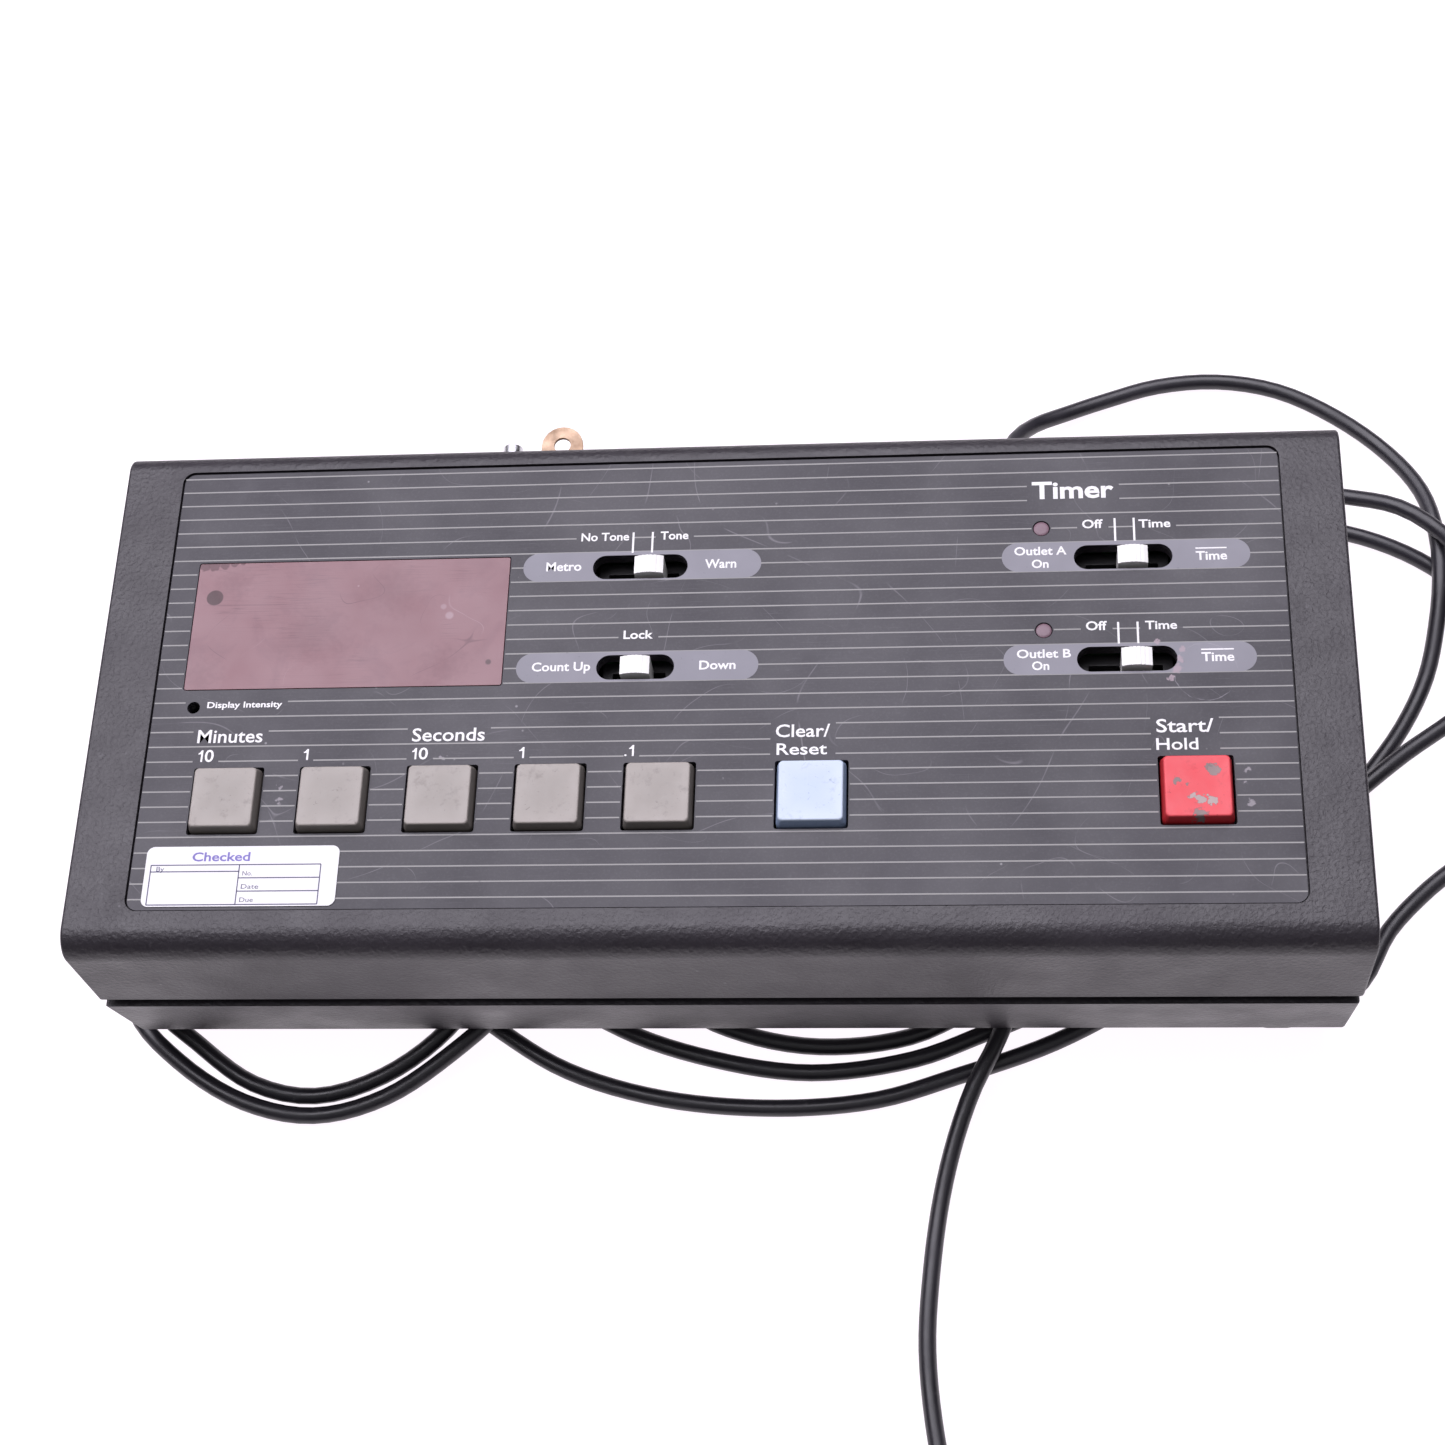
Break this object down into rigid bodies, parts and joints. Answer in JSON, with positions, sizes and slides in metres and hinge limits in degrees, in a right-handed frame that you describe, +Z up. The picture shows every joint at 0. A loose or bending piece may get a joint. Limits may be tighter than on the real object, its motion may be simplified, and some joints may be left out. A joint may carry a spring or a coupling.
{
  "type": "bench timer",
  "caption": "Low bench timer: two-part case, recessed panel with display window, sprung square keys, slide switches, outlets at the back and a thin plug-in lead looped under it.",
  "frame": {"origin": "on the bench, under the middle of the box around the case and its back fittings, without the lead", "axes": "+X to the right as the operator reads the panel, +Y to the back, +Z up out of the panel"},
  "size_m": [0.3615, 0.3743, 0.072],
  "materials": {
    "case_plastic": "moulded, fine grain, satin",
    "panel_print": "printed polyester overlay, fine texture, thin light lines",
    "window_filter": "tinted display filter, matt front",
    "status_lens": "smoked lens",
    "label_film": "white film with a thin ruled grid",
    "circuit_board": "solder mask over glass epoxy",
    "display_digits": "cast digit module",
    "trimmer_blue": "moulded",
    "white_plastic": "moulded, slightly worn",
    "black_plastic": "moulded",
    "laminated_core": "varnished laminations",
    "coil_winding": "taped winding",
    "relay_case": "moulded",
    "outlet_plastic": "moulded",
    "brass_plate": "stamped, dull",
    "brass_blade": "stamped, polished",
    "zinc_steel": "zinc plated",
    "relief_rubber": "moulded",
    "plug_rubber": "moulded",
    "foot_rubber": "moulded, matt",
    "lead_jacket": "extruded vinyl jacket, satin",
    "key_grey": "moulded, matt, worn paler at the edges",
    "key_blue": "moulded, matt",
    "key_red": "moulded, matt"
  },
  "bodies": {
    "root": {"top_shell": "case_plastic", "base_shell": "case_plastic", "overlay_panel": "panel_print", "display_window": "window_filter", "status_lens_a": "status_lens", "status_lens_b": "status_lens", "asset_label": "label_film", "panel_board": "circuit_board", "power_board": "circuit_board", "display_module": "display_digits", "intensity_trimmer": "trimmer_blue", "transformer_core": "laminated_core", "transformer_coil": "coil_winding", "relay_a": "relay_case", "relay_b": "relay_case", "beeper": "black_plastic", "outlet_socket_a": "outlet_plastic", "outlet_socket_b": "outlet_plastic", "ground_lug": "brass_plate", "lug_screw": "zinc_steel", "strain_relief": "relief_rubber", "lead_1": "lead_jacket", "lead_2": "lead_jacket", "lead_3": "lead_jacket", "plug_body": "plug_rubber", "plug_blade_left": "brass_blade", "plug_blade_right": "brass_blade", "foot_front_left": "foot_rubber", "case_screw_front_left": "zinc_steel", "foot_front_right": "foot_rubber", "case_screw_front_right": "zinc_steel", "foot_back_left": "foot_rubber", "case_screw_back_left": "zinc_steel", "foot_back_right": "foot_rubber", "case_screw_back_right": "zinc_steel", "key_switch_minutes_10": "black_plastic", "key_switch_minutes_1": "black_plastic", "key_switch_seconds_10": "black_plastic", "key_switch_seconds_1": "black_plastic", "key_switch_tenths": "black_plastic", "key_switch_clear": "black_plastic", "key_switch_start": "black_plastic", "slide_switch_tone": "black_plastic", "slide_switch_count": "black_plastic", "slide_switch_outlet_a": "black_plastic", "slide_switch_outlet_b": "black_plastic"},
    "key_minutes_10": {"key_minutes_10": "key_grey"},
    "key_minutes_1": {"key_minutes_1": "key_grey"},
    "key_seconds_10": {"key_seconds_10": "key_grey"},
    "key_seconds_1": {"key_seconds_1": "key_grey"},
    "key_tenths": {"key_tenths": "key_grey"},
    "key_clear": {"key_clear": "key_blue"},
    "key_start": {"key_start": "key_red"},
    "slider_tone": {"slider_tone": "white_plastic"},
    "slider_count": {"slider_count": "white_plastic"},
    "slider_outlet_a": {"slider_outlet_a": "white_plastic"},
    "slider_outlet_b": {"slider_outlet_b": "white_plastic"},
    "intensity_rotor": {"intensity_rotor": "white_plastic"}
  },
  "joints": [
    {"name": "press_minutes_10", "type": "slide", "parent": "root", "child": "key_minutes_10", "axis": [0, 0, -1], "range_m": [0, 0.003], "stiffness_N_per_m": 180, "springref_m": -0.002},
    {"name": "press_minutes_1", "type": "slide", "parent": "root", "child": "key_minutes_1", "axis": [0, 0, -1], "range_m": [0, 0.003], "stiffness_N_per_m": 180, "springref_m": -0.002},
    {"name": "press_seconds_10", "type": "slide", "parent": "root", "child": "key_seconds_10", "axis": [0, 0, -1], "range_m": [0, 0.003], "stiffness_N_per_m": 180, "springref_m": -0.002},
    {"name": "press_seconds_1", "type": "slide", "parent": "root", "child": "key_seconds_1", "axis": [0, 0, -1], "range_m": [0, 0.003], "stiffness_N_per_m": 180, "springref_m": -0.002},
    {"name": "press_tenths", "type": "slide", "parent": "root", "child": "key_tenths", "axis": [0, 0, -1], "range_m": [0, 0.003], "stiffness_N_per_m": 180, "springref_m": -0.002},
    {"name": "press_clear", "type": "slide", "parent": "root", "child": "key_clear", "axis": [0, 0, -1], "range_m": [0, 0.003], "stiffness_N_per_m": 180, "springref_m": -0.002},
    {"name": "press_start", "type": "slide", "parent": "root", "child": "key_start", "axis": [0, 0, -1], "range_m": [0, 0.003], "stiffness_N_per_m": 180, "springref_m": -0.002},
    {"name": "slide_tone", "type": "slide", "parent": "root", "child": "slider_tone", "axis": [1, 0, 0], "range_m": [-0.0088, 0.0044]},
    {"name": "slide_count", "type": "slide", "parent": "root", "child": "slider_count", "axis": [1, 0, 0], "range_m": [-0.0044, 0.0044]},
    {"name": "slide_outlet_a", "type": "slide", "parent": "root", "child": "slider_outlet_a", "axis": [1, 0, 0], "range_m": [-0.0088, 0.0044]},
    {"name": "slide_outlet_b", "type": "slide", "parent": "root", "child": "slider_outlet_b", "axis": [1, 0, 0], "range_m": [-0.0088, 0.0044]},
    {"name": "turn_intensity", "type": "hinge", "parent": "root", "child": "intensity_rotor", "pos_m": [-0.1233, -0.00879, 0.0575], "axis": [0, 0, 1], "range_deg": [-130, 130]}
  ]
}
